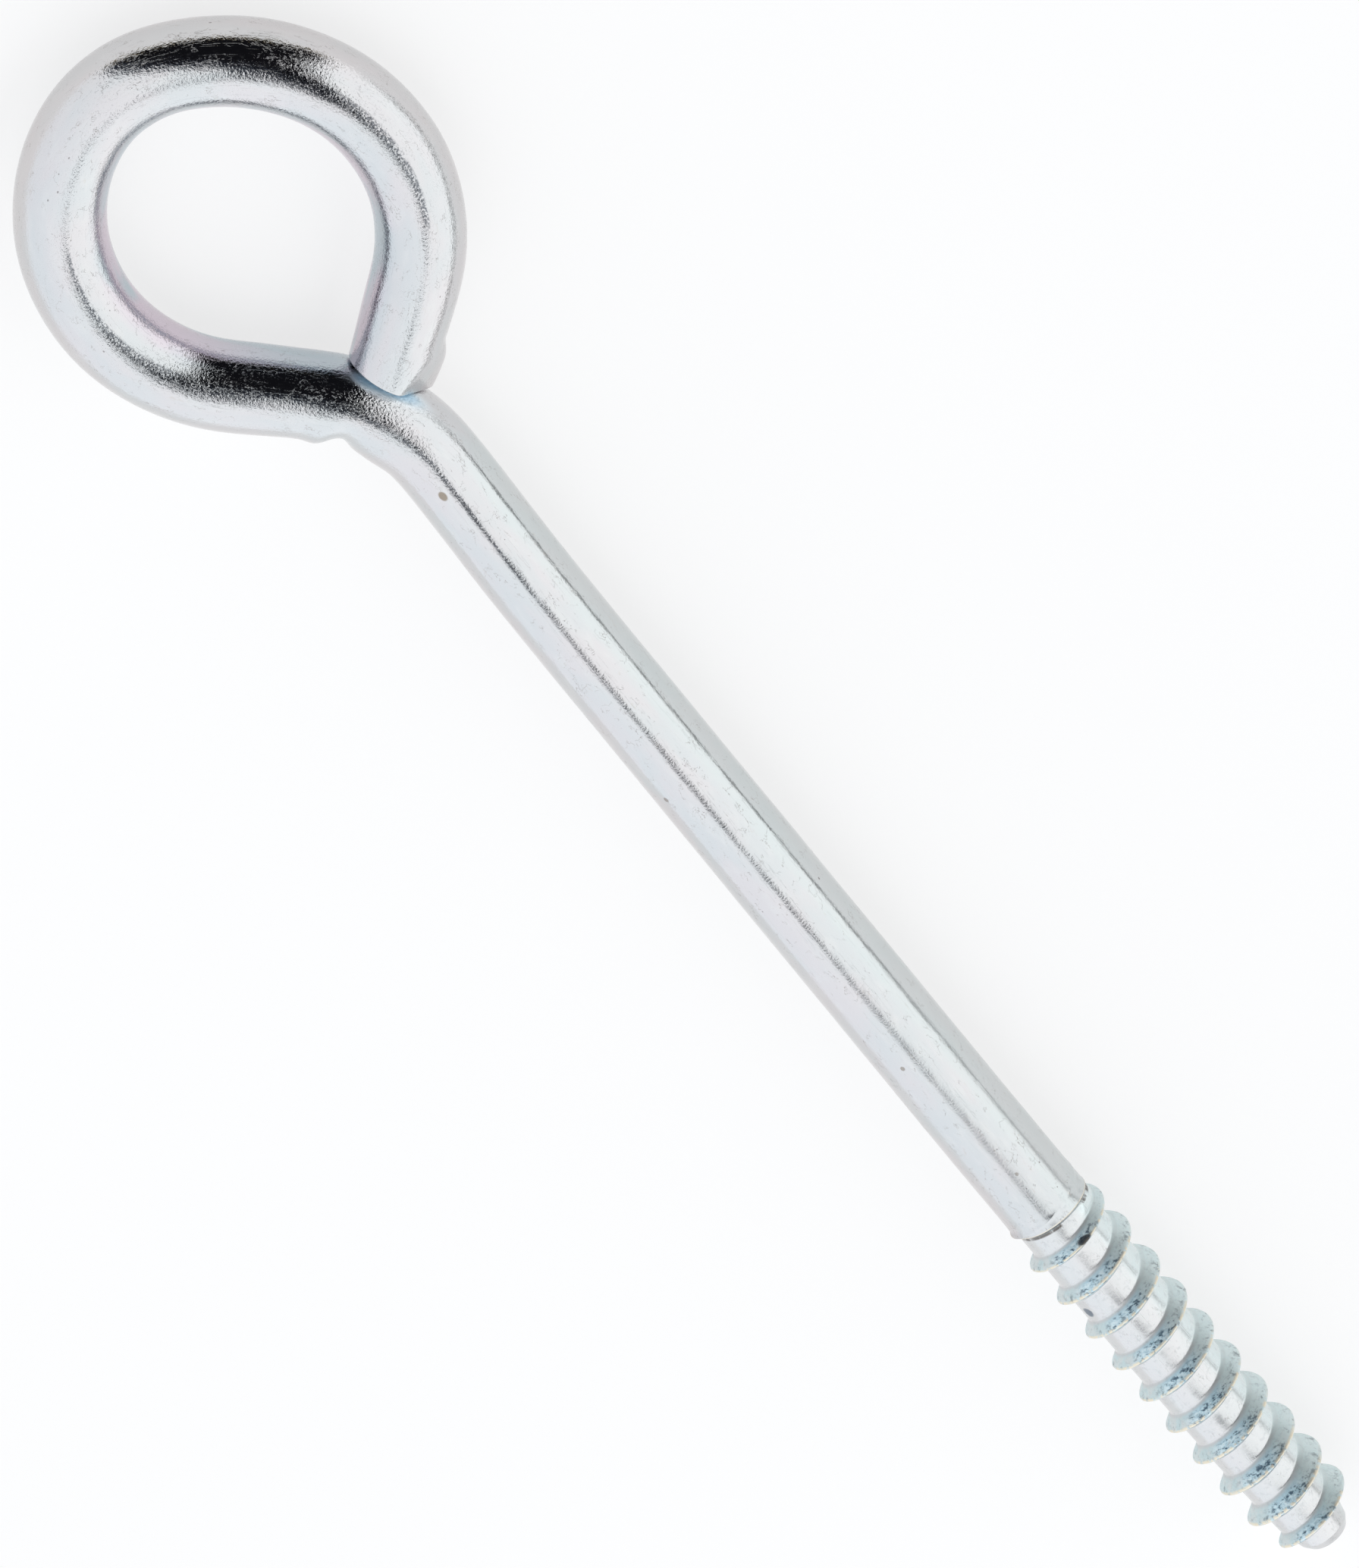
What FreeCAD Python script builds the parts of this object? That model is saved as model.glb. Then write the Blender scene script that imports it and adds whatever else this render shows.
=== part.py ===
import FreeCAD
import Part

import math
import os

# Lag-thread eye bolt bent from one round steel bar, in millimetres.
#
# Frame: the bolt lies flat with its eye in the XY plane. The origin is the centre of
# the eye, +X runs along the shank towards the tip, and +Z is the normal of the eye.
# The bar is cut into the stretches that a rigger would name. Neighbouring stretches
# meet face to face and never overlap.

# Bar and eye section
BAR_DIA = 8.0
EYE_BAR_WIDTH = 8.4
EYE_BAR_HEIGHT = 7.8

# Centreline of the eye: one tight arc at the top between two equal side arcs
SIDE_RADIUS = 18.4
TOP_RADIUS = 11.7
TOP_HALF_ANGLE = 25.4
NECK_LEG_ANGLE = 46.0
RETURN_LEG_ANGLE = 49.2

# Neck bend, and the cut end of the bar that closes the eye against it
NECK_RADIUS = 14.4
END_FACE_ANGLE = 28.4
END_GAP = 0.1
BEVEL_ROLL = 40.0
BEVEL_TILT = 17.0
BEVEL_DEPTH = 0.8

# Lag thread, 3/8 in over the crests
TIP_X = 168.6
THREAD_SECTION_X = 123.0
TIP_SECTION_X = 161.0
CREST_RADIUS = 9.525 / 2
PITCH = 4.12
CREST_X_AT_Y = 127.78
CREST_HALF_WIDTH = 0.35
FLANK_ANGLE = 30.0
RIDGE_DEPTH_IN_ROOT = 0.5
RIDGE_START_X = 124.4
RIDGE_END_X = 167.2
STEPS_PER_TURN = 24

# Root of the thread and height of its crest, as (x, radius) along the axis
ROOT_PROFILE = [
    (THREAD_SECTION_X, BAR_DIA / 2),
    (125.5, BAR_DIA / 2),
    (127.5, 3.65),
    (142.0, 3.65),
    (157.0, 3.35),
    (165.0, 2.9),
    (TIP_X - 1.0, 1.85),
    (TIP_X, 1.4),
]
CREST_PROFILE = [
    (RIDGE_START_X, BAR_DIA / 2 - 0.1),
    (125.3, 4.2),
    (127.7, 4.6),
    (131.0, CREST_RADIUS),
    (TIP_SECTION_X, CREST_RADIUS),
    (164.2, 4.55),
    (166.3, 3.6),
    (RIDGE_END_X, 1.9),
]

BAR_RADIUS = BAR_DIA / 2
Z_AXIS = FreeCAD.Vector(0, 0, 1)


def in_plane(angle, length=1.0):
    """Vector of a length in the eye's plane, at an angle in degrees from +X towards +Y."""
    turn = math.radians(angle)
    return FreeCAD.Vector(length * math.cos(turn), length * math.sin(turn), 0)


def bar_outline(centre, direction, width, height):
    """Closed outline of the bar's section: width lies in the eye's plane, height along Z."""
    if abs(width - height) < 1e-9:
        return Part.Wire(Part.Circle(centre, direction, width / 2).toShape())
    across = Z_AXIS.cross(direction).normalize()
    ellipse = Part.Ellipse(centre + across * (width / 2), centre + Z_AXIS * (height / 2), centre)
    return Part.Wire(ellipse.toShape())


def bent_bar(start, direction, centre, angle, width, height):
    """The bar swept round a centre in the eye's plane, by a signed angle in degrees."""
    section = Part.Face(bar_outline(start, direction, width, height))
    return section.revolve(centre, Z_AXIS, angle)


def tapered_leg(start, end, start_size, end_size):
    """Straight bar whose section changes from one (width, height) to another."""
    direction = (end - start).normalize()
    outlines = [
        bar_outline(start, direction, *start_size),
        bar_outline(end, direction, *end_size),
    ]
    return Part.makeLoft(outlines, True, False)


def half_space(point, outward):
    """A large block that fills the side of a plane that its outward normal points to."""
    size = 60.0
    block = Part.makeBox(size, size, size, FreeCAD.Vector(-size / 2, -size / 2, 0))
    block.Placement = FreeCAD.Placement(point, FreeCAD.Rotation(Z_AXIS, outward))
    return block


def revolved(profile):
    """Solid of revolution about X from (x, radius) points."""
    points = [FreeCAD.Vector(x, radius, 0) for x, radius in profile]
    points.append(FreeCAD.Vector(profile[-1][0], 0, 0))
    points.append(FreeCAD.Vector(profile[0][0], 0, 0))
    outline = Part.makePolygon(points + [points[0]])
    return Part.Face(outline).revolve(FreeCAD.Vector(), FreeCAD.Vector(1, 0, 0), 360)


# Route of the bar: from the shank into the neck bend, along the neck leg, round the left
# side, the top and the right side of the eye, and down the return leg to the cut end.
CENTRE_OFFSET = (SIDE_RADIUS - TOP_RADIUS) * math.sin(math.radians(TOP_HALF_ANGLE))
TOP_CENTRE = FreeCAD.Vector(
    -(SIDE_RADIUS - TOP_RADIUS) * math.cos(math.radians(TOP_HALF_ANGLE)), 0, 0
)
LEFT_CENTRE = FreeCAD.Vector(0, CENTRE_OFFSET, 0)
RIGHT_CENTRE = FreeCAD.Vector(0, -CENTRE_OFFSET, 0)
NECK_LEG_DIR = in_plane(NECK_LEG_ANGLE)
RETURN_LEG_DIR = in_plane(-RETURN_LEG_ANGLE)

LEFT_ARC_END = LEFT_CENTRE + in_plane(NECK_LEG_ANGLE - 90, SIDE_RADIUS)
RIGHT_ARC_END = RIGHT_CENTRE + in_plane(90 - RETURN_LEG_ANGLE, SIDE_RADIUS)
TOP_LEFT = TOP_CENTRE + in_plane(180 + TOP_HALF_ANGLE, TOP_RADIUS)
TOP_RIGHT = TOP_CENTRE + in_plane(180 - TOP_HALF_ANGLE, TOP_RADIUS)

# The neck leg is as long as it takes to reach the bend that ends on the shank's axis.
NECK_END_Y = -NECK_RADIUS * (1 - math.cos(math.radians(NECK_LEG_ANGLE)))
NECK_LEG_LENGTH = (NECK_END_Y - LEFT_ARC_END.y) / NECK_LEG_DIR.y
NECK_END = LEFT_ARC_END + NECK_LEG_DIR * NECK_LEG_LENGTH
NECK_START_X = NECK_END.x + NECK_RADIUS * math.sin(math.radians(NECK_LEG_ANGLE))
NECK_CENTRE = FreeCAD.Vector(NECK_START_X, -NECK_RADIUS, 0)

# The cut end's face is a tangent plane of the neck's outer side, a small gap away.
END_FACE_OUT = in_plane(END_FACE_ANGLE - 90)
END_FACE_REACH = NECK_RADIUS + BAR_RADIUS + END_GAP
END_CENTRE = RIGHT_ARC_END + RETURN_LEG_DIR * (
    (-END_FACE_REACH - (RIGHT_ARC_END - NECK_CENTRE).dot(END_FACE_OUT))
    / RETURN_LEG_DIR.dot(END_FACE_OUT)
)


def make_shank():
    """Straight round bar from the neck bend to the thread."""
    length = THREAD_SECTION_X - NECK_START_X
    return Part.makeCylinder(
        BAR_RADIUS, length, FreeCAD.Vector(NECK_START_X, 0, 0), FreeCAD.Vector(1, 0, 0)
    )


def make_neck_bend():
    """The bend that carries the bar from the shank's axis to the left of the eye."""
    start = FreeCAD.Vector(NECK_START_X, 0, 0)
    direction = FreeCAD.Vector(-1, 0, 0)
    return bent_bar(start, direction, NECK_CENTRE, NECK_LEG_ANGLE, BAR_DIA, BAR_DIA)


def make_eye_loop():
    """Neck leg, left side, top and right side of the eye, in slightly flattened bar."""
    eye_size = (EYE_BAR_WIDTH, EYE_BAR_HEIGHT)
    leg = tapered_leg(NECK_END, LEFT_ARC_END, (BAR_DIA, BAR_DIA), eye_size)
    arcs = [
        (LEFT_ARC_END, -NECK_LEG_DIR, LEFT_CENTRE, TOP_LEFT),
        (TOP_LEFT, in_plane(90 + TOP_HALF_ANGLE), TOP_CENTRE, TOP_RIGHT),
        (TOP_RIGHT, in_plane(90 - TOP_HALF_ANGLE), RIGHT_CENTRE, RIGHT_ARC_END),
    ]
    bent = []
    for start, direction, centre, end in arcs:
        turn = math.degrees((start - centre).getAngle(end - centre))
        bent.append(bent_bar(start, direction, centre, -turn, *eye_size))
    return leg.fuse(bent)


def make_return_leg():
    """Last straight stretch of the bar, with its sheared end close against the neck."""
    eye_size = (EYE_BAR_WIDTH, EYE_BAR_HEIGHT)
    taper = tapered_leg(RIGHT_ARC_END, END_CENTRE, eye_size, (BAR_DIA, BAR_DIA))
    stub = Part.makeCylinder(BAR_RADIUS, BAR_RADIUS, END_CENTRE, RETURN_LEG_DIR)
    leg = taper.fuse(stub).cut(half_space(END_CENTRE, END_FACE_OUT))
    # The shear blade pressed a shallow bevel into the outer upper corner of the end.
    roll = math.radians(BEVEL_ROLL)
    tilt = math.radians(BEVEL_TILT)
    side = Z_AXIS.cross(RETURN_LEG_DIR) * math.cos(roll) + Z_AXIS * math.sin(roll)
    bevel_out = side * math.cos(tilt) + RETURN_LEG_DIR * math.sin(tilt)
    bevel_point = END_CENTRE + side * (BAR_RADIUS - BEVEL_DEPTH)
    return leg.cut(half_space(bevel_point, bevel_out))


def value_at(profile, x):
    """Radius of a profile at x, on straight lines between its points."""
    for (x0, r0), (x1, r1) in zip(profile, profile[1:]):
        if x <= x1:
            return r0 + (r1 - r0) * max(x - x0, 0) / (x1 - x0)
    return profile[-1][1]


def ridge_section(x):
    """Corners of the thread ridge whose crest is at x, as (x, radius) going round it."""
    crest = value_at(CREST_PROFILE, x)
    base = value_at(ROOT_PROFILE, x) - RIDGE_DEPTH_IN_ROOT
    half_base = CREST_HALF_WIDTH + (crest - base) * math.tan(math.radians(FLANK_ANGLE))
    return [
        (x - half_base, base),
        (x - CREST_HALF_WIDTH, crest),
        (x + CREST_HALF_WIDTH, crest),
        (x + half_base, base),
    ]


def ridge_piece(start_x, end_x):
    """Up to one turn of the right-handed helical ridge, as a closed solid."""
    steps = math.ceil((end_x - start_x) / PITCH * STEPS_PER_TURN)
    corners = [[], [], [], []]
    for step in range(steps + 1):
        x = start_x + (end_x - start_x) * step / steps
        turn = 2 * math.pi * (x - CREST_X_AT_Y) / PITCH
        for line, (corner_x, radius) in zip(corners, ridge_section(x)):
            line.append(FreeCAD.Vector(corner_x, radius * math.cos(turn), radius * math.sin(turn)))
    edges = []
    for line in corners:
        curve = Part.BSplineCurve()
        curve.interpolate(line)
        edges.append(curve.toShape())
    faces = [Part.makeRuledSurface(edge, edges[i - 1]) for i, edge in enumerate(edges)]
    for end in (0, -1):
        ring = [line[end] for line in corners]
        faces.append(Part.Face(Part.makePolygon(ring + [ring[0]])))
    shell = Part.makeShell(faces)
    shell.sewShape()
    return Part.makeSolid(shell)


def make_thread():
    """Tapering root with a blunt tip, and the lag thread's ridge round it, turn by turn."""
    thread = revolved(ROOT_PROFILE)
    turns = math.ceil((RIDGE_END_X - RIDGE_START_X) / PITCH)
    for turn in range(turns):
        start_x = RIDGE_START_X + turn * PITCH
        thread = thread.fuse(ridge_piece(start_x, min(start_x + PITCH, RIDGE_END_X)))
    return thread


def split_at(shape, x):
    """The parts of a shape before and after a plane across the shank."""
    point = FreeCAD.Vector(x, 0, 0)
    ahead = half_space(point, FreeCAD.Vector(1, 0, 0))
    return shape.cut(ahead), shape.common(ahead)


def build_parts():
    """Every node's solid, by name."""
    lag_thread, thread_tip = split_at(make_thread(), TIP_SECTION_X)
    return {
        "eye_loop": make_eye_loop(),
        "return_leg": make_return_leg(),
        "neck_bend": make_neck_bend(),
        "shank": make_shank(),
        "lag_thread": lag_thread,
        "thread_tip": thread_tip,
    }


os.makedirs("parts", exist_ok=True)
for node, solid in build_parts().items():
    solid = solid.removeSplitter()
    solid.exportStep(f"parts/{node}.step")
    print(node, len(solid.Solids), "solid", "valid" if solid.isValid() else "INVALID",
          f"{solid.Volume:.1f} mm3")
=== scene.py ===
import math

import bpy
import numpy as np
from mathutils import Matrix, Vector


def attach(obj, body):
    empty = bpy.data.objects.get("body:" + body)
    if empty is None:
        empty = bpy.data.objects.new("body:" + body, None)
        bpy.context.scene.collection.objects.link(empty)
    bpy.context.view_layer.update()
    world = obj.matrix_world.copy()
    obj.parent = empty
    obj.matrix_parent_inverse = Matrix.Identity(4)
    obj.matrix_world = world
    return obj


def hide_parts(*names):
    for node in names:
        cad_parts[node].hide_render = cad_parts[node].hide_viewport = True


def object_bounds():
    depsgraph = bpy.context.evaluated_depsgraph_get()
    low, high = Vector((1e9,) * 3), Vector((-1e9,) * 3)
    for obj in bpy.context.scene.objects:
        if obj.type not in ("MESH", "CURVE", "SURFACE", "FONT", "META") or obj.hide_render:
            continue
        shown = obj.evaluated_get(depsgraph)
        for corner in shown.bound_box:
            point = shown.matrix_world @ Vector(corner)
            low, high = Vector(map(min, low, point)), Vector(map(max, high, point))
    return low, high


# Zinc-plated lag-thread eye bolt, lying flat on a pale floor inside a bright studio tent.
# Lengths are in millimetres until a mesh is made; the frame and every object are in metres.

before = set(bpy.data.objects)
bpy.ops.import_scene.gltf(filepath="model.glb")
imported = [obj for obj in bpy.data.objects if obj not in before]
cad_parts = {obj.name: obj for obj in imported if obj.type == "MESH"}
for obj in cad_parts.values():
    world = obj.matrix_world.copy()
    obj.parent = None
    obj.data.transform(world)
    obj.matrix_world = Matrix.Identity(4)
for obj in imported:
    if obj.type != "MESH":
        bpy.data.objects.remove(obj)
cad_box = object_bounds()

MM = 0.001

# Route of the bar, from the thread's end of the shank round the eye to the cut end
THREAD_SECTION_X = 123.0
TIP_SECTION_X = 161.0
TIP_X = 168.6
SIDE_RADIUS = 18.4
TOP_RADIUS = 11.7
TOP_HALF_ANGLE = 25.4
NECK_LEG_ANGLE = 46.0
RETURN_LEG_ANGLE = 49.2
NECK_RADIUS = 14.4
END_FACE_ANGLE = 28.4
END_GAP = 0.1
BAR_RADIUS = 4.0
EYE_HALF_WIDTH = 4.2
EYE_HALF_HEIGHT = 3.9
RETURN_SLIMMING = 0.1
BEND_SOFTNESS = 1.3

# Unevenness of the drawn bar and what bending adds, and the bending die's marks on the inner
# side of the neck, as (rise, distance past the bend's start, spread)
WAVE_SEED = 38
WAVE_COUNT = 14
BAR_WAVES = 0.012
BEND_WAVES = 0.02
DIE_MARKS = [(0.34, 11.5, 1.2), (-0.72, 8.8, 1.4), (0.22, 4.2, 2.2)]
DIE_SIDE = 0.15

# How far the real bar strays to the right of its travel: a slow drift towards the tip, a
# swerve just before the neck and (amount, middle, spread) of each swerve in the eye
TIP_DRIFT = 0.87
DRIFT_START_X = 108.0
NECK_SWERVE = 0.30
EYE_SWERVES = [(0.33, 108.0, 13.0), (0.22, 130.0, 12.0), (0.22, 160.0, 9.0)]

# Cut end: the shear's bevel on its upper outer corner, and the metal it squeezed out
BEVEL_ROLL = 40.0
BEVEL_TILT = 17.0
BEVEL_DEPTH = 0.8
BEVEL_SOFTNESS = 0.35
FAR_AWAY = 99.0
FLARE = 0.6
END_STRETCH = 6.0
RIM_ROUND = 0.16

# Rolled lag thread: pitch, ridge section, advance of its first and last turns, and the
# (x, radius) lines of its root and crest
PITCH = 4.12
CREST_X_AT_Y = 127.78
CREST_RADIUS = 4.70
CREST_HALF_WIDTH = 0.12
EYE_FLANK_ANGLE = 37.0
INNER_FLANK_EXTRA = 11.0
TIP_FLANK_ANGLE = 25.0
CREST_ROUND = 0.3
ROOT_ROUND = 0.12
START_ADVANCE = 0.45
TIP_ADVANCE = 0.55
RUNOUT_SWELL = 0.35
SIDE_CREST = 0.1
THREAD_WAVES = 0.02
TIP_ROUND = 0.35
ROOT_PROFILE = [(125.45, 4.0), (125.75, 3.66), (142.0, 3.65), (157.0, 3.42), (165.0, 3.05),
                (167.6, 2.5), (TIP_X, 1.85)]
CREST_PROFILE = [(124.0, 3.8), (125.3, 4.2), (127.7, 4.6), (130.5, CREST_RADIUS),
                 (161.0, CREST_RADIUS), (164.2, 4.6), (166.0, 4.0), (167.6, 2.9), (168.4, 1.8)]

# Dark spots on the plating, stains and painted dark reflections, as (place, 1 / size, shade):
# place is distance along the bar, then offset from its centreline to the left and up
STAINS_AND_DARK_REFLECTIONS = [
    ((-12.4, 2.85, 2.35), (1.7, 1.6, 1.6), (0.10, 0.14, 0.19)),
    ((-5.1, -1.8, 4.2), (2.6, 1.1, 2.0), (0.03, 0.03, 0.04)),
    ((91.65, 0.75, 3.93), (1.7, 2.6, 2.6), (0.26, 0.21, 0.155)),
    ((54.0, 2.45, 3.15), (3.2, 4.5, 4.5), (0.30, 0.27, 0.25)),
    ((19.0, 1.2, 3.8), (3.6, 4.5, 4.5), (0.32, 0.29, 0.26)),
    ((4.0, -0.75, 3.93), (4.5, 6.0, 6.0), (0.34, 0.32, 0.30)),
]
# Lines of painted dark reflection, grainy, along the bends: distance along the bar, offset to
# the left and half-width at either end
DARK_REFLECTION_LINES = [
    ((78.0, -0.15, 0.06), (98.5, -0.45, 0.28)),
    ((100.5, -0.55, 0.25), (106.0, -1.05, 0.30)),
    ((119.0, -1.25, 0.55), (137.0, -0.35, 0.18)),
    ((168.0, 1.05, 0.65), (188.0, 0.50, 0.28)),
]
LINE_FADE_OUT = 1.5
LINE_FADE_IN = 0.5

# Where the cut end was pressed against the neck, with its painted blue shade, as (place, 1 /
# size)
CONTACT_SPOT = (101.2, -3.55, 2.05)
CONTACT_SPREAD = (0.27, 0.85, 0.85)

# Distance along the bar of the groove and the lip of the rim where the thread starts, which
# carry painted shade and a painted highlight
GROOVE_U = -2.90
LIP_U = -2.44

# Depth of the plating's fine relief, in metres
BAR_RELIEF = 3.2e-5
THREAD_RELIEF = 3.0e-5

# Colours of the plating, the marks on it, the thread's films, and the painted shade, highlights
# and dark reflections
COOL_ZINC = (0.59, 0.61, 0.62)
WARM_ZINC = (0.625, 0.61, 0.62)
BRIGHT_ZINC = (0.65, 0.655, 0.655)
GREENISH_ZINC = (0.58, 0.635, 0.63)
REDDISH_ZINC = (0.63, 0.59, 0.585)
BLUE_FILM = (0.42, 0.51, 0.56)
PINK_FILM = (0.62, 0.52, 0.60)
DARK_SPECK = (0.22, 0.2, 0.2)
DARK_CRACK = (0.30, 0.27, 0.25)
BROWN_SMUDGE = (0.52, 0.48, 0.43)
DARK_REFLECTION_GRAIN = (0.09, 0.10, 0.12)
BLUE_CONTACT_SHADE = (0.45, 0.72, 0.92)
PALE_CONTACT_SHADE = (0.74, 0.84, 0.89)
VALLEY_ZINC = (0.68, 0.69, 0.69)
MATT_FILM = (0.63, 0.745, 0.76)
PALE_FILM = (0.70, 0.755, 0.755)
SHADED_TOP_FILM = (0.56, 0.76, 0.85)
LIT_SIDE_FILM = (0.78, 0.885, 0.89)
STREAK_HIGHLIGHT = (0.90, 0.98, 1.0)
DARK_REFLECTION_SPECKLE = (0.06, 0.11, 0.17)
GREY_STAIN = (0.12, 0.16, 0.19)
CREST_HIGHLIGHT = (0.86, 0.78, 0.63)
GROOVE_SHADE = (0.13, 0.12, 0.11)
LIP_HIGHLIGHT = (0.78, 0.70, 0.56)

# Studio: the floor, in metres, and the tent's cloth and dark opening
FLOOR_SIDES = 96
FLOOR_RADIUS = 6.0
FLOOR_GAP = 0.00002
FLOOR_DARK = (0.32, 0.32, 0.325)
FLOOR_PALE = (0.34, 0.34, 0.34)
FLOOR_GLOW = 0.685
COOL_CLOTH = (0.96, 0.99, 1.03)
PLAIN_CLOTH = (0.985, 1.0, 1.005)
OPENING_EDGE = (0.06, 0.07, 0.09)
OPENING_MIDDLE = (0.008, 0.008, 0.010)
OPENING_SILL = (0.30, 0.22, 0.08)
BACKDROP = (0.96, 0.96, 0.965)

# View: lean along the shank, tilt across it, and how steeply the shank falls in the picture;
# the point looked at, the lens and the height of the frame there in metres
VIEW_LEAN = 26.0
VIEW_TILT = 14.25
SHANK_FALL = 50.56
TARGET = (71.385, -2.084, -2.774)
LENS = 1400.0
SENSOR_WIDTH = 36.0
FRAME_HEIGHT = 0.1394

# Mesh steps
COLUMNS = 160
BAR_STEP = 0.4
THREAD_STEP = 0.085
TIP_STEP = 0.06
CUT_END_ROWS = 45

# Sampling of the route, and how far it runs on past the shank's start and the cut end
ROUTE_STEP = 0.05
ROUTE_BEFORE = 60.0
ROUTE_AFTER = 20.0
BLUR_STEPS = 80


def unit(degrees):
    turn = math.radians(degrees)
    return np.array([math.cos(turn), math.sin(turn)])


def smooth_min(a, b, width):
    return 0.5 * (a + b - np.sqrt((a - b) ** 2 + width ** 2))


def smooth_max(a, b, width):
    return 0.5 * (a + b + np.sqrt((a - b) ** 2 + width ** 2))


def smooth_step(low, high, value):
    t = np.clip((value - low) / (high - low), 0, 1)
    return t * t * (3 - 2 * t)


def bump(value, centre, spread):
    return np.exp(-(((value - centre) / spread) ** 2))


# --- centreline -------------------------------------------------------------------------

centre_offset = (SIDE_RADIUS - TOP_RADIUS) * math.sin(math.radians(TOP_HALF_ANGLE))
left_arc_end = np.array([0, centre_offset]) + SIDE_RADIUS * unit(NECK_LEG_ANGLE - 90)
right_arc_end = np.array([0, -centre_offset]) + SIDE_RADIUS * unit(90 - RETURN_LEG_ANGLE)
neck_end_y = -NECK_RADIUS * (1 - math.cos(math.radians(NECK_LEG_ANGLE)))
neck_leg = (neck_end_y - left_arc_end[1]) / math.sin(math.radians(NECK_LEG_ANGLE))
neck_end = left_arc_end + unit(NECK_LEG_ANGLE) * neck_leg
neck_start_x = neck_end[0] + NECK_RADIUS * math.sin(math.radians(NECK_LEG_ANGLE))
neck_centre = np.array([neck_start_x, -NECK_RADIUS])
end_out = unit(END_FACE_ANGLE - 90)
return_dir = unit(-RETURN_LEG_ANGLE)
end_reach = NECK_RADIUS + BAR_RADIUS + END_GAP
return_leg = (-end_reach - (right_arc_end - neck_centre) @ end_out) / (return_dir @ end_out)

# (length, turn in degrees) of each stretch, in order along the bar
STRETCHES = [
    (THREAD_SECTION_X - neck_start_x, 0.0),
    (NECK_RADIUS * math.radians(NECK_LEG_ANGLE), NECK_LEG_ANGLE),
    (neck_leg, 0.0),
    (SIDE_RADIUS * math.radians(90 - TOP_HALF_ANGLE + NECK_LEG_ANGLE),
     -(90 - TOP_HALF_ANGLE + NECK_LEG_ANGLE)),
    (TOP_RADIUS * math.radians(2 * TOP_HALF_ANGLE), -2 * TOP_HALF_ANGLE),
    (SIDE_RADIUS * math.radians(90 - TOP_HALF_ANGLE + RETURN_LEG_ANGLE),
     -(90 - TOP_HALF_ANGLE + RETURN_LEG_ANGLE)),
    (return_leg, 0.0),
]
marks = np.cumsum([0.0] + [length for length, _ in STRETCHES])
headings = np.cumsum([180.0] + [turn for _, turn in STRETCHES])
AT_NECK, AT_LEG, AT_EYE, AT_TOP, AT_RIGHT, AT_RETURN, AT_END = marks[1:]

# The headings are blurred a little, so that the bar eases into and out of its bends.
fine = np.arange(-ROUTE_BEFORE, AT_END + ROUTE_AFTER, ROUTE_STEP)
heading = np.interp(fine, marks, headings)
reach = np.arange(-BLUR_STEPS, BLUR_STEPS + 1) * ROUTE_STEP
kernel = np.exp(-((reach / BEND_SOFTNESS) ** 2) / 2)
padded = np.pad(heading, BLUR_STEPS, mode="edge")
heading = np.radians(np.convolve(padded, kernel / kernel.sum(), mode="valid"))
step_x = np.cumsum(np.cos(heading)) * ROUTE_STEP
step_y = np.cumsum(np.sin(heading)) * ROUTE_STEP
at_start = np.argmin(np.abs(fine))
path_x = THREAD_SECTION_X + step_x - step_x[at_start]
path_y = step_y - step_y[at_start]


def side_shift(along):
    """How far the real bar strays from its ideal route, towards the left of its travel."""
    past = np.clip(THREAD_SECTION_X - along - DRIFT_START_X, 0, None)
    strayed = TIP_DRIFT * (past / (TIP_X - DRIFT_START_X)) ** 2
    strayed = strayed + NECK_SWERVE * bump(along, AT_NECK - 3.0, 10.0)
    for amount, middle, spread in EYE_SWERVES:
        strayed = strayed + amount * bump(along, middle, spread)
    return -strayed


def place(along):
    """Centre of the bar and its left-hand normal at distances along it."""
    turn = np.interp(along, fine, heading)
    left = np.stack([-np.sin(turn), np.cos(turn)], -1)
    centre = np.stack([np.interp(along, fine, path_x), np.interp(along, fine, path_y)], -1)
    return centre + left * side_shift(along)[..., None], left


# --- section of the bar -----------------------------------------------------------------

angles = np.arange(COLUMNS) * 2 * math.pi / COLUMNS
rng = np.random.default_rng(WAVE_SEED)
WAVES = [(rng.uniform(0.05, 0.7), rng.integers(1, 5), rng.uniform(0, 6.28), rng.uniform(0.4, 1))
         for _ in range(WAVE_COUNT)]


def unevenness(along, angle):
    """Slow unevenness of drawn and bent bar, from -1 to 1."""
    total = sum(weight * np.sin(pace * along + turns * angle + phase)
                for pace, turns, phase, weight in WAVES)
    return total / sum(wave[3] for wave in WAVES) * 2


def bar_radius(along, angle):
    """Distance from centreline to surface. Angle 0 is the left of travel and 90 is up."""
    in_eye = smooth_step(AT_LEG, AT_EYE, along) * (1 - smooth_step(AT_RETURN, AT_END, along))
    slimmer = RETURN_SLIMMING * smooth_step(AT_TOP + 5, AT_RIGHT, along)
    width = BAR_RADIUS + (EYE_HALF_WIDTH - BAR_RADIUS) * in_eye - slimmer
    height = BAR_RADIUS + (EYE_HALF_HEIGHT - BAR_RADIUS) * in_eye
    radius = 1 / np.sqrt((np.cos(angle) / width) ** 2 + (np.sin(angle) / height) ** 2)
    radius = radius + unevenness(along, angle) * (BAR_WAVES + BEND_WAVES * in_eye)
    # Marks of the bending die on the inner side of the neck
    past = along - AT_NECK
    mark = sum(rise * bump(past, middle, spread) for rise, middle, spread in DIE_MARKS)
    return radius + mark * np.clip(np.cos(angle - DIE_SIDE), 0, None) ** 2


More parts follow.
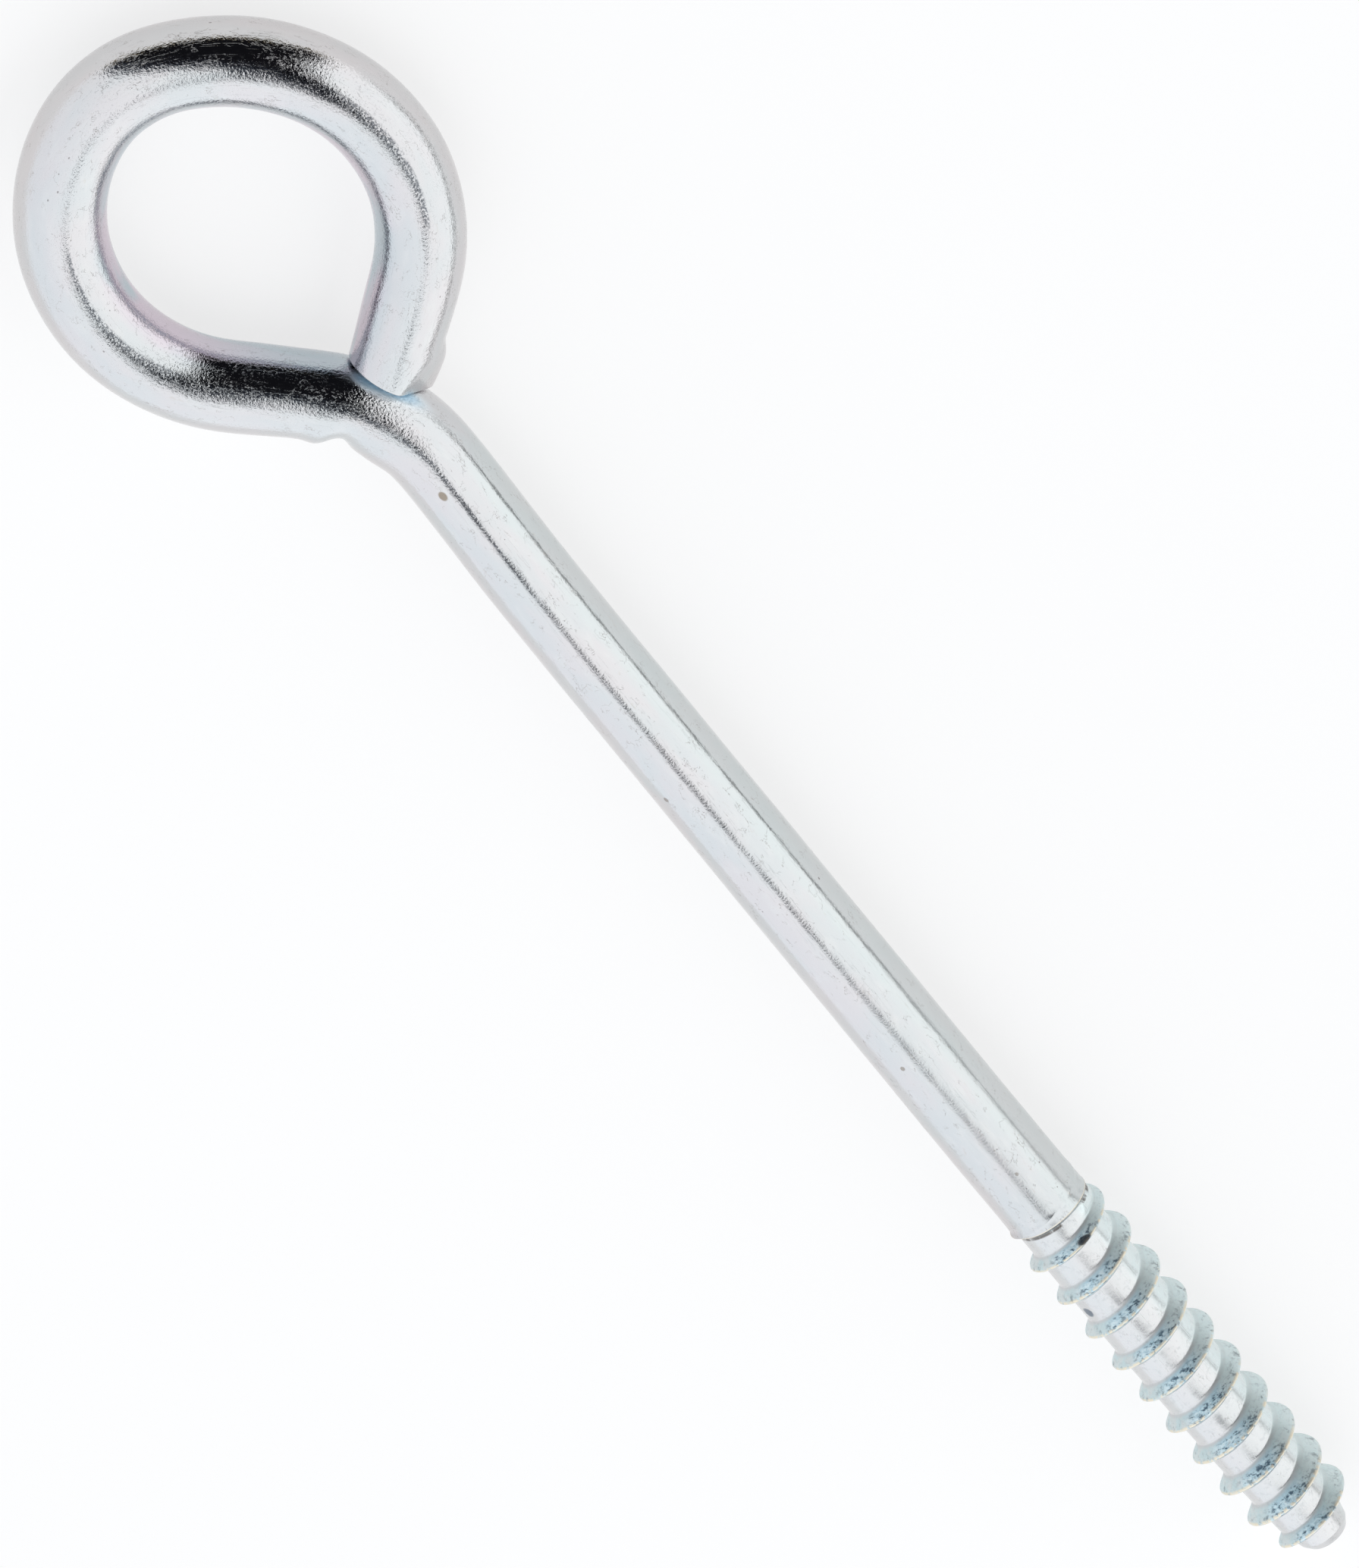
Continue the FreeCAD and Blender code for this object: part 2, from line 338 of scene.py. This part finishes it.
def end_radius(along, angle, base):
    """Radius near the cut end, with the squeezed-out metal and the shear's bevel.

    base is the plain bar's radius in the same places.
    """
    back = AT_END - along
    flare = FLARE * smooth_step(5.2, 2.6, back) * bump(angle, math.radians(-4), math.radians(38))
    radius = base + flare
    roll, tilt = math.radians(BEVEL_ROLL), math.radians(BEVEL_TILT)
    reach_out = (BAR_RADIUS - BEVEL_DEPTH) * math.cos(tilt) + back * math.sin(tilt)
    facing = np.cos(angle - roll) * math.cos(tilt)
    # Only the side that faces the bevel can reach its plane.
    plane = np.where(facing > 0.05, reach_out / np.maximum(facing, 0.05), FAR_AWAY)
    return smooth_min(radius, plane, BEVEL_SOFTNESS)


# --- thread -----------------------------------------------------------------------------

def thread_radius(x, angle):
    """Radius of the threaded end, and how near each point is to the ridge's crest."""
    turn = (math.pi - angle) / (2 * math.pi)
    # The first turns and the last come a little early.
    early = START_ADVANCE * bump(x, 131.0, 4.0) + TIP_ADVANCE * smooth_step(162.5, 166.0, x)
    beyond = (x + early - CREST_X_AT_Y - PITCH * turn + PITCH / 2) % PITCH - PITCH / 2
    root = np.interp(x, *np.array(ROOT_PROFILE).T)
    inner_side = np.clip(-np.cos(angle), 0, None) ** 2
    root = root + RUNOUT_SWELL * bump(x, 126.4, 0.8) * inner_side
    crest = np.interp(x - beyond, *np.array(CREST_PROFILE).T)
    crest = crest + SIDE_CREST * np.cos(angle) ** 2 * smooth_step(126.0, 129.0, x)
    height = np.maximum(crest - root, 0)
    wide = np.radians(EYE_FLANK_ANGLE + INNER_FLANK_EXTRA * inner_side)
    eye_side = (CREST_HALF_WIDTH + beyond) / np.tan(wide) + height
    tip_side = (CREST_HALF_WIDTH - beyond) / math.tan(math.radians(TIP_FLANK_ANGLE)) + height
    flank = smooth_min(eye_side, tip_side, 0.2)
    ridge = smooth_max(smooth_min(height, flank, CREST_ROUND) + ROOT_ROUND / 2, 0, ROOT_ROUND)
    radius = root + ridge
    nearness = np.clip(ridge / np.maximum(height, 0.2), 0, 1) * (height > 0.15)
    return radius, nearness


# --- the whole surface as one grid of rows along the bar ---------------------------------

def ring_points(centre, left, radius):
    """Points of one or more rings in space."""
    flat = centre[:, None, :] + left[:, None, :] * (radius * np.cos(angles))[..., None]
    return np.concatenate([flat, (radius * np.sin(angles))[..., None]], -1)


def rows_between(start, end, step):
    return np.linspace(start, end, max(2, math.ceil(abs(end - start) / step)) + 1)


def rounded(distance, size):
    """Inset of a rounded rim at a distance from its edge."""
    inside = np.clip(size - distance, 0, size)
    return size - np.sqrt(size ** 2 - inside ** 2)


grid, bar_coords, crests = [], [], []


def add_rows(points, along, radius, crest=None):
    grid.append(points)
    coords = np.stack([along, radius * np.cos(angles), radius * np.sin(angles)], -1)
    bar_coords.append(coords)
    crests.append(np.zeros(radius.shape) if crest is None else crest)


def tip_rows():
    """The blunt end of the screw, from its centre to the first row of thread."""
    centre, left = place(np.array([THREAD_SECTION_X - TIP_X]))
    rim = np.interp(TIP_X, *np.array(ROOT_PROFILE).T)
    # A slightly domed face, a little uneven round its edge
    for share in np.linspace(0.12, 0.94, 8):
        radius = np.full((1, COLUMNS), rim * share)
        points = ring_points(centre, left, radius)
        points[..., 0] -= 0.05 + 0.12 * share ** 3 + 0.02 * np.sin(3 * angles) * share
        along = THREAD_SECTION_X - TIP_X - rim * (1 - share) + radius * 0
        add_rows(points, along, radius)


def thread_rows(start_x, end_x, step, skip):
    x = rows_between(start_x, end_x, step)[skip:, None]
    radius, crest = thread_radius(x, angles)
    radius = radius - rounded(TIP_X - x, TIP_ROUND) * 0.8
    along = THREAD_SECTION_X - x
    radius = radius + THREAD_WAVES * unevenness(along * 3, angles)
    centre, left = place(along[:, 0])
    add_rows(ring_points(centre, left, radius), along + radius * 0, radius, crest)


def bar_rows(start, end):
    along = rows_between(start, end, BAR_STEP)[1:, None]
    radius = bar_radius(along, angles)
    centre, left = place(along[:, 0])
    add_rows(ring_points(centre, left, radius), along + radius * 0, radius)


def cut_end_rows():
    """The return leg's last stretch, its oblique cut face and the face's centre."""
    facing = end_out @ np.array([-return_dir[1], return_dir[0]])
    towards = end_out @ return_dir
    wrapped = (angles + math.pi) % (2 * math.pi) - math.pi
    start = AT_END - END_STRETCH
    # The rim lies where the cut plane meets the surface, whose radius depends on the rim.
    rim = np.full(COLUMNS, AT_END)
    for _ in range(8):
        radius = end_radius(rim, wrapped, bar_radius(rim, angles))
        rim = AT_END - radius * np.cos(angles) * facing / towards
    shares = 1 - (1 - np.linspace(0, 1, CUT_END_ROWS)[1:, None]) ** 1.5
    along = start + shares * (rim - start)
    base = bar_radius(along, angles)
    blend = smooth_step(0, 0.25, shares)
    radius = base + (end_radius(along, wrapped, base) - base) * blend
    radius = radius - rounded(rim - along, RIM_ROUND)
    for a, r in zip(along, radius):
        centre, left = place(a)
        flat = centre + left * (r * np.cos(angles))[:, None]
        points = np.concatenate([flat, (r * np.sin(angles))[:, None]], -1)
        add_rows(points[None], a[None], r[None])
    # Rings across the cut face, slightly rippled by the shear
    last, last_radius, last_along = grid[-1][0], radius[-1], along[-1]
    middle = last.mean(0)
    for share in np.linspace(0.93, 0.1, 9):
        points = middle + (last - middle) * share
        points[:, :2] += end_out * 0.03 * np.sin(9 * share + 2 * np.cos(angles))[:, None]
        inward = last_along + (1 - share) * BAR_RADIUS
        add_rows(points[None], inward[None], last_radius[None] * share)


def row_count():
    return sum(len(block) for block in grid)


pieces = {}
tip_rows()
thread_rows(TIP_X, TIP_SECTION_X, TIP_STEP, 0)
pieces["screw_tip"] = (0, row_count() - 1)
thread_rows(TIP_SECTION_X, THREAD_SECTION_X, THREAD_STEP, 1)
pieces["rolled_thread"] = (pieces["screw_tip"][1], row_count() - 1)
bar_rows(0.0, AT_NECK)
pieces["zinc_shank"] = (pieces["rolled_thread"][1], row_count() - 1)
bar_rows(AT_NECK, AT_LEG)
pieces["zinc_neck"] = (pieces["zinc_shank"][1], row_count() - 1)
bar_rows(AT_LEG, AT_RETURN)
pieces["zinc_loop"] = (pieces["zinc_neck"][1], row_count() - 1)
bar_rows(AT_RETURN, AT_END - END_STRETCH)
cut_end_rows()
pieces["zinc_cut_leg"] = (pieces["zinc_loop"][1], row_count() - 1)

surface = np.concatenate(grid)
bar_position = np.concatenate(bar_coords)
crest_value = np.concatenate(crests)

across = np.roll(surface, -1, 1) - np.roll(surface, 1, 1)
lengthwise = np.gradient(surface, axis=0)
normal = np.cross(across, lengthwise)
normal /= np.linalg.norm(normal, axis=-1, keepdims=True)


def make_piece(name, node, slot, first, last, material):
    """One closed mesh from rows of the grid, shaded with the whole surface's normals."""
    rows = last - first + 1
    points = surface[first:last + 1].reshape(-1, 3) * MM
    caps = [surface[first].mean(0) * MM, surface[last].mean(0) * MM]
    points = np.concatenate([points, caps])
    index = np.arange(rows * COLUMNS).reshape(rows, COLUMNS)
    after = np.roll(index, -1, 1)
    quads = np.stack([index[:-1], after[:-1], after[1:], index[1:]], -1).reshape(-1, 4)
    start_centre, end_centre = rows * COLUMNS, rows * COLUMNS + 1
    start_fan = np.stack([np.full(COLUMNS, start_centre), after[0], index[0]], -1)
    end_fan = np.stack([np.full(COLUMNS, end_centre), index[-1], after[-1]], -1)
    mesh = bpy.data.meshes.new(name)
    faces = quads.tolist() + start_fan.tolist() + end_fan.tolist()
    mesh.from_pydata(points.tolist(), [], faces)
    side = normal[first:last + 1].reshape(-1, 3)
    start_out = np.cross(points[after[0, 0]] - caps[0], points[index[0, 0]] - caps[0])
    end_out_3d = np.cross(points[index[-1, 0]] - caps[1], points[after[-1, 0]] - caps[1])
    loops = np.concatenate([
        side[quads.ravel()],
        np.tile(start_out / np.linalg.norm(start_out), (3 * COLUMNS, 1)),
        np.tile(end_out_3d / np.linalg.norm(end_out_3d), (3 * COLUMNS, 1)),
    ])
    mesh.polygons.foreach_set("use_smooth", [True] * len(faces))
    mesh.normals_split_custom_set(loops.tolist())
    coords = bar_position[first:last + 1].reshape(-1, 3)
    coords = np.concatenate([coords, coords[:1], coords[-1:]])
    coords[-2:, 1:] = 0
    mesh.attributes.new("bar_mm", "FLOAT_VECTOR", "POINT").data.foreach_set(
        "vector", coords.astype(np.float32).ravel())
    crest = np.concatenate([crest_value[first:last + 1].ravel(), [0, 0]])
    mesh.attributes.new("crest", "FLOAT", "POINT").data.foreach_set(
        "value", crest.astype(np.float32))
    mesh.materials.append(material)
    piece = bpy.data.objects.new(name, mesh)
    bpy.context.scene.collection.objects.link(piece)
    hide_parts(node)
    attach(piece, "root")


# --- materials --------------------------------------------------------------------------

class Shader:
    """Short way to build a node tree: values may be numbers, colours or other nodes' outputs."""

    def __init__(self, tree):
        self.tree = tree
        tree.nodes.clear()

    def feed(self, socket, value):
        """Link another node's output to a socket, or set the socket's own constant."""
        if isinstance(value, bpy.types.NodeSocket):
            self.tree.links.new(value, socket)
        else:
            socket.default_value = value

    def node(self, kind, values=(), **settings):
        made = self.tree.nodes.new("ShaderNode" + kind)
        for name, value in settings.items():
            setattr(made, name, value)
        for key, value in dict(values).items():
            self.feed(made.inputs[key], value)
        return made

    def math(self, operation, *values):
        return self.node("Math", dict(enumerate(values)), operation=operation).outputs[0]

    def plus(self, first, second):
        return self.math("ADD", first, second)

    def minus(self, first, second):
        return self.math("SUBTRACT", first, second)

    def times(self, *values):
        product = values[-1]
        for value in reversed(values[:-1]):
            product = self.math("MULTIPLY", value, product)
        return product

    def apart(self, first, second):
        return self.math("ABSOLUTE", self.minus(first, second))

    def ramp(self, value, low, high, to_low=0.0, to_high=1.0, smooth=True):
        made = self.node("MapRange", {"Value": value, "From Min": low, "From Max": high,
                                      "To Min": to_low, "To Max": to_high},
                         interpolation_type="SMOOTHSTEP" if smooth else "LINEAR")
        return made.outputs[0]

    def mix(self, share, first, second):
        made = self.node("Mix", {"Factor": share}, data_type="RGBA")
        for key, value in ((6, first), (7, second)):
            self.feed(made.inputs[key], (*value, 1.0) if isinstance(value, tuple) else value)
        return made.outputs[2]

    def stretched(self, vector, scale):
        return self.node("VectorMath", {0: vector, 1: scale}, operation="MULTIPLY").outputs[0]

    def distance(self, vector, spot, scale):
        """Distance from a spot, measured in steps of 1 / scale along each axis."""
        away = self.node("VectorMath", {0: vector, 1: spot}, operation="SUBTRACT").outputs[0]
        away = self.stretched(away, scale)
        return self.node("VectorMath", {0: away}, operation="LENGTH").outputs["Value"]

    def noise(self, vector, scale, detail=2.0, rough=0.5):
        made = self.node("TexNoise", {"Vector": self.stretched(vector, scale), "Scale": 1.0,
                                      "Detail": detail, "Roughness": rough})
        return made.outputs["Fac"]


def plating_colour(s, bar, u, across):
    """Pale passivated zinc, with pink and blue-green film colours pooled inside the loop."""
    tint = s.noise(bar, (0.12, 0.35, 0.35), 3.0)
    patch = s.noise(bar, (0.35, 0.9, 0.9), 3.0)
    colour = s.mix(s.ramp(tint, 0.35, 0.65), COOL_ZINC, WARM_ZINC)
    colour = s.mix(s.ramp(patch, 0.5, 0.75, 0.0, 0.5), colour, BRIGHT_ZINC)
    film = s.noise(bar, (0.075, 0.4, 0.4), 2.0)
    pinkness = s.times(s.ramp(film, 0.42, 0.60), s.ramp(u, 108.0, 122.0, 0.2, 1.0))
    pooled = s.times(s.ramp(across, -2.0, -3.9), s.ramp(u, 96.0, 106.0))
    colour = s.mix(s.times(pooled, 0.7), colour, s.mix(pinkness, BLUE_FILM, PINK_FILM))
    greener = s.times(s.ramp(across, -1.8, -2.6, 0.0, 0.5), s.ramp(u, 90.0, 96.0, 1.0, 0.0))
    colour = s.mix(greener, colour, GREENISH_ZINC)
    return s.mix(s.ramp(across, 2.6, 3.9, 0.0, 0.4), colour, REDDISH_ZINC)


def plating_marks(s, bar, colour):
    """Colour with fine specks, hairline cracks and smudges, and where the cracks are."""
    specks = s.node("TexVoronoi", {"Vector": s.stretched(bar, (0.55, 0.8, 0.8)), "Scale": 1.0},
                    feature="F1")
    size = s.ramp(s.noise(bar, (0.5, 0.6, 0.6), 1.0), 0.45, 0.8, 0.0, 0.09, False)
    speck = s.ramp(s.minus(specks.outputs["Distance"], size), 0.0, 0.02, 1.0, 0.0)
    colour = s.mix(s.times(speck, 0.7), colour, DARK_SPECK)
    crack = s.ramp(s.apart(s.noise(bar, (0.45, 0.8, 0.8), 4.0, 0.65), 0.5), 0.0, 0.009, 1.0, 0.0)
    crack = s.times(crack, s.ramp(s.noise(bar, (0.6, 1.0, 1.0), 3.0, 0.6), 0.51, 0.59))
    colour = s.mix(s.times(crack, 0.65), colour, DARK_CRACK)
    smudge = s.ramp(s.noise(bar, (0.5, 1.4, 1.4), 4.0, 0.7), 0.63, 0.75, 0.0, 0.4)
    return s.mix(smudge, colour, BROWN_SMUDGE), crack


def plating_grain(s, bar, u, crack):
    """Roughness and height: an orange peel, coarser where the bar was bent, and draw lines."""
    scratch = s.ramp(s.noise(bar, (0.25, 9.0, 9.0), 2.0), 0.62, 0.70)
    rough = s.ramp(s.noise(bar, (0.8, 2.5, 2.5), 2.0), 0.3, 0.7, 0.03, 0.06)
    rough = s.plus(rough, s.times(scratch, 0.05))
    # The shank is duller than the eye, and dullest near the thread.
    rough = s.plus(rough, s.ramp(u, 84.0, 96.0, 0.055, 0.0))
    rough = s.plus(rough, s.ramp(u, 2.0, 50.0, 0.10, 0.0))
    # Matt specks crowd together in places on the eye.
    matt = s.ramp(s.noise(bar, (3.6, 5.5, 5.5), 3.0, 0.7), 0.53, 0.62)
    crowded = s.ramp(s.noise(bar, (0.25, 0.5, 0.5), 1.0), 0.35, 0.65, 0.25, 1.0)
    crowded = s.times(crowded, s.ramp(u, 92.0, 100.0))
    rough = s.plus(rough, s.times(matt, crowded, 0.34))
    bent = s.times(s.ramp(u, 91.0, 98.5, 0.25, 1.3), s.ramp(u, 101.5, 106.5, 1.0, 0.62))
    peel = s.times(s.noise(bar, (4.1, 4.5, 4.5), 2.0, 0.6), bent)
    waves = s.noise(bar, (0.35, 0.9, 0.9), 1.0)
    height = s.plus(peel, s.times(waves, 0.7))
    height = s.minus(height, s.times(scratch, 0.12))
    return rough, s.minus(height, s.times(crack, 0.2))


def thread_finish(s, bar, u, across, up, colour, rough):
    """Matt film on the thread, with painted light by side, painted highlights, painted dark
    reflections, stains, and a rim with painted shade and a painted highlight.
    """
    crest = s.node("Attribute", attribute_name="crest").outputs["Fac"]
    cut = s.ramp(u, -2.6, -3.1)
    flank = s.times(s.ramp(crest, 0.0, 0.07), s.ramp(crest, 0.93, 1.0, 1.0, 0.2))
    side = s.times(s.ramp(across, -2.3, -3.2), 0.8)
    filmed = s.math("MAXIMUM", s.ramp(crest, 0.02, 0.34), side)
    filmed = s.times(filmed, cut, s.ramp(crest, 0.93, 1.0, 0.88, 0.2))
    on_top = s.times(s.ramp(up, 2.4, 3.9), s.ramp(across, 2.7, 0.7))
    matt = s.mix(s.ramp(s.noise(bar, (0.9, 0.9, 0.9), 2.0), 0.4, 0.6), MATT_FILM, PALE_FILM)
    # Painted light on the film: bluer on top and paler on the right side, over the film's own
    # tone
    matt = s.mix(s.times(on_top, 0.8), matt, SHADED_TOP_FILM)
    matt = s.mix(s.ramp(across, -1.6, -3.0, 0.0, 0.8), matt, LIT_SIDE_FILM)
    colour = s.mix(s.times(cut, 0.5), colour, VALLEY_ZINC)
    colour = s.mix(filmed, colour, matt)
    # Painted highlights in bright streaks and painted dark reflections in dark flecks on the
    # flanks, mostly on top
    streak = s.noise(bar, (4.2, 1.8, 1.8), 4.0, 0.65)
    streaked = s.times(flank, s.plus(0.1, s.times(on_top, 0.9)))
    streaked = s.times(streaked, s.ramp(crest, 0.2, 0.5))
    shine = s.times(s.ramp(streak, 0.49, 0.41), 0.6)
    colour = s.mix(s.times(streaked, shine), colour, STREAK_HIGHLIGHT)
    scale = s.times(s.ramp(streak, 0.53, 0.60), 0.85)
    colour = s.mix(s.times(streaked, scale), colour, DARK_REFLECTION_SPECKLE)
    dirt = s.ramp(s.noise(bar, (1.5, 1.5, 1.5), 5.0, 0.7), 0.52, 0.66)
    dirt = s.times(dirt, s.plus(0.12, s.times(s.ramp(crest, 0.35, 0.85), 0.45)))
    colour = s.mix(dirt, colour, GREY_STAIN)
    # A painted highlight along the crests, in broken stretches, stronger on top
    edge = s.times(s.ramp(crest, 0.84, 0.94), s.ramp(up, 0.6, 2.4, 0.12, 1.0))
    unbroken = s.ramp(s.noise(bar, (1.0, 2.0, 2.0), 3.0, 0.6), 0.40, 0.52)
    colour = s.mix(s.times(edge, unbroken, 0.85), colour, CREST_HIGHLIGHT)
    # Painted shade in the groove and a painted highlight on the lip of the rim where the shank
    # meets the thread
    broken = s.ramp(s.noise(bar, (0.2, 0.9, 0.9), 3.0, 0.6), 0.40, 0.55)
    groove = s.ramp(s.apart(u, GROOVE_U), 0.08, 0.24, 0.9, 0.0)
    colour = s.mix(s.times(groove, broken), colour, GROOVE_SHADE)
    lip = s.ramp(s.apart(u, LIP_U), 0.02, 0.12, 0.7, 0.0)
    colour = s.mix(lip, colour, LIP_HIGHLIGHT)
    return colour, s.plus(rough, s.plus(s.times(cut, 0.03), s.times(flank, 0.40)))


def bend_finish(s, bar, u, across, up, colour, rough):
    """Painted dark reflections in the coarse grain along the bends, and painted blue shade on a
    matt film under the cut end.
    """
    # Painted dark reflection: grainy, on the top only, laid in lines along the bends
    grain_on_top = s.ramp(s.noise(bar, (4.6, 5.4, 5.4), 3.0, 0.7), 0.44, 0.53)
    grain_on_top = s.times(grain_on_top, s.ramp(up, 1.0, 3.0, 0.0, 0.8))
    for (u_0, centre_0, half_0), (u_1, centre_1, half_1) in DARK_REFLECTION_LINES:
        centre = s.ramp(u, u_0, u_1, centre_0, centre_1, False)
        half = s.ramp(u, u_0, u_1, half_0, half_1, False)
        line = s.ramp(s.math("DIVIDE", s.apart(across, centre), half), 0.6, 1.3, 1.0, 0.0)
        begun = s.ramp(u, u_0 - LINE_FADE_OUT, u_0 + LINE_FADE_IN)
        unfinished = s.ramp(u, u_1 - LINE_FADE_IN, u_1 + LINE_FADE_OUT, 1.0, 0.0)
        line = s.times(line, s.times(begun, unfinished), grain_on_top)
        colour = s.mix(line, colour, DARK_REFLECTION_GRAIN)
    # Painted blue shade, on a rougher matt film, where the cut end was pressed against the neck
    away = s.distance(bar, CONTACT_SPOT, CONTACT_SPREAD)
    near = s.ramp(away, 0.55, 1.2, 1.0, 0.0)
    pressed = s.mix(s.ramp(away, 0.3, 1.0), BLUE_CONTACT_SHADE, PALE_CONTACT_SHADE)
    colour = s.mix(s.times(near, 0.75), colour, pressed)
    return colour, s.plus(rough, s.times(near, 0.4))


def zinc_material(name, finish, relief_depth):
    """Bright zinc plate over drawn steel, with the finish of its own stretch of the bar."""
    material = bpy.data.materials.new(name)
    material.use_nodes = True
    s = Shader(material.node_tree)
    bar = s.node("Attribute", attribute_name="bar_mm").outputs["Vector"]
    u, across, up = s.node("SeparateXYZ", {0: bar}).outputs
    colour, crack = plating_marks(s, bar, plating_colour(s, bar, u, across))
    rough, height = plating_grain(s, bar, u, crack)
    colour, rough = finish(s, bar, u, across, up, colour, rough)
    # Stains and painted dark reflections, spot by spot
    for spot, spread, shade in STAINS_AND_DARK_REFLECTIONS:
        mark = s.ramp(s.distance(bar, spot, spread), 0.7, 1.1, 0.85, 0.0)
        colour = s.mix(mark, colour, shade)
    relief = s.node("Bump", {"Strength": 1.0, "Distance": relief_depth, "Height": height})
    shader = s.node("BsdfPrincipled", {
        "Base Color": colour, "Metallic": 1.0, "Roughness": rough,
        "Normal": relief.outputs["Normal"]})
    s.node("OutputMaterial", {"Surface": shader.outputs[0]})
    return material


def floor_material():
    material = bpy.data.materials.new("studio_floor")
    material.use_nodes = True
    s = Shader(material.node_tree)
    cloud = s.noise(s.node("TexCoord").outputs["Object"], (9.0, 9.0, 9.0), 3.0)
    shader = s.node("BsdfPrincipled", {
        "Base Color": s.mix(cloud, FLOOR_DARK, FLOOR_PALE), "Roughness": 0.85,
        "Specular IOR Level": 0.2, "Emission Color": (1.0, 1.0, 1.0, 1.0),
        "Emission Strength": FLOOR_GLOW})
    s.node("OutputMaterial", {"Surface": shader.outputs[0]})
    return material


zinc_bar = zinc_material("zinc_bar_finish", bend_finish, BAR_RELIEF)
zinc_thread = zinc_material("zinc_thread_finish", thread_finish, THREAD_RELIEF)
for name, node, slot, material in (
    ("screw_tip", "thread_tip", "zinc_thread", zinc_thread),
    ("rolled_thread", "lag_thread", "zinc_thread", zinc_thread),
    ("zinc_shank", "shank", "zinc_bar", zinc_bar),
    ("zinc_neck", "neck_bend", "zinc_bar", zinc_bar),
    ("zinc_loop", "eye_loop", "zinc_bar", zinc_bar),
    ("zinc_cut_leg", "return_leg", "zinc_bar", zinc_bar),
):
    make_piece(name, node, slot, *pieces[name], material)


# --- studio -----------------------------------------------------------------------------

def make_floor():
    """Round pale table top just under the bolt."""
    z = cad_box[0].z - FLOOR_GAP
    turns = np.arange(FLOOR_SIDES) * 2 * math.pi / FLOOR_SIDES
    points = [(FLOOR_RADIUS * math.cos(a), FLOOR_RADIUS * math.sin(a), z) for a in turns]
    mesh = bpy.data.meshes.new("studio_floor")
    mesh.from_pydata(points, [], [list(range(FLOOR_SIDES))])
    mesh.materials.append(floor_material())
    floor = bpy.data.objects.new("studio_floor", mesh)
    bpy.context.scene.collection.objects.link(floor)


def make_tent():
    """Bright tent all round, with one dark opening overhead."""
    world = bpy.data.worlds.new("studio_tent")
    bpy.context.scene.world = world
    world.use_nodes = True
    s = Shader(world.node_tree)
    direction = s.node("TexCoord").outputs["Generated"]
    x, y, z = s.node("SeparateXYZ", {0: direction}).outputs
    glow = s.plus(1.25, s.plus(s.times(x, 0.10), s.times(y, 0.08)))
    # The opening narrows from the horizon to a pointed tail just past the zenith.
    offset = s.plus(x, 0.1)
    before = s.math("POWER", s.math("MINIMUM", offset, 0.0), 2.0)
    after = s.math("POWER", s.math("MAXIMUM", offset, 0.0), 2.0)
    left_edge = s.plus(s.minus(y, 0.08), s.plus(s.times(before, 0.39), s.times(after, 1.2)))
    right_edge = s.minus(s.ramp(y, -0.12, 0.92, 0.45, -0.21), x)
    opening = s.times(s.ramp(left_edge, -0.035, 0.035), s.ramp(right_edge, -0.01, 0.015))
    opening = s.times(opening, s.ramp(y, -0.27, -0.15))
    opening = s.times(opening, s.ramp(x, 0.34, 0.47, 1.0, 0.8))
    doorway = s.times(opening, s.ramp(z, 0.0, 0.05))
    # A darker seam runs round part of the tent where it meets the table.
    seam = s.ramp(s.apart(z, 0.05), 0.0, 0.12, 0.78, 0.0)
    seam = s.times(seam, s.ramp(x, -0.1, 0.3))
    seam = s.times(seam, s.ramp(y, -0.35, 0.0))
    glow = s.times(glow, s.minus(1.0, seam))
    white = s.mix(s.ramp(y, -0.9, 0.3), COOL_CLOTH, PLAIN_CLOTH)
    colour = s.node("VectorMath", {0: white, "Scale": glow}, operation="SCALE").outputs[0]
    inside = s.mix(s.ramp(left_edge, 0.02, 0.25), OPENING_EDGE, OPENING_MIDDLE)
    inside = s.mix(s.ramp(z, 0.03, 0.10), OPENING_SILL, inside)
    colour = s.mix(doorway, colour, inside)
    colour = s.mix(s.node("LightPath").outputs["Is Camera Ray"], colour, BACKDROP)
    light = s.node("Background", {"Color": colour, "Strength": 1.0})
    s.node("OutputWorld", {"Surface": light.outputs[0]})


def make_camera():
    """Long lens high above the bolt, rolled so that the shank falls to the lower right."""
    lean, tilt, fall = (math.radians(angle) for angle in (VIEW_LEAN, VIEW_TILT, SHANK_FALL))
    along_shank = Vector((math.cos(lean), math.sin(lean) * math.sin(tilt),
                          math.sin(lean) * math.cos(tilt)))
    across_shank = Vector((0.0, math.cos(tilt), -math.sin(tilt)))
    right = along_shank * math.cos(fall) + across_shank * math.sin(fall)
    up = across_shank * math.cos(fall) - along_shank * math.sin(fall)
    back = right.cross(up)
    data = bpy.data.cameras.new("camera")
    data.lens = LENS
    data.sensor_width = SENSOR_WIDTH
    distance = FRAME_HEIGHT / 2 / (data.sensor_width / 2 / data.lens)
    data.clip_start, data.clip_end = 0.1, 20.0
    camera = bpy.data.objects.new("camera", data)
    bpy.context.scene.collection.objects.link(camera)
    camera.matrix_world = Matrix.Translation(Vector(TARGET) * MM + back * distance) @ Matrix(
        (right, up, back)).transposed().to_4x4()
    bpy.context.scene.camera = camera


make_floor()
make_tent()
make_camera()
bpy.context.scene.view_settings.view_transform = "Standard"
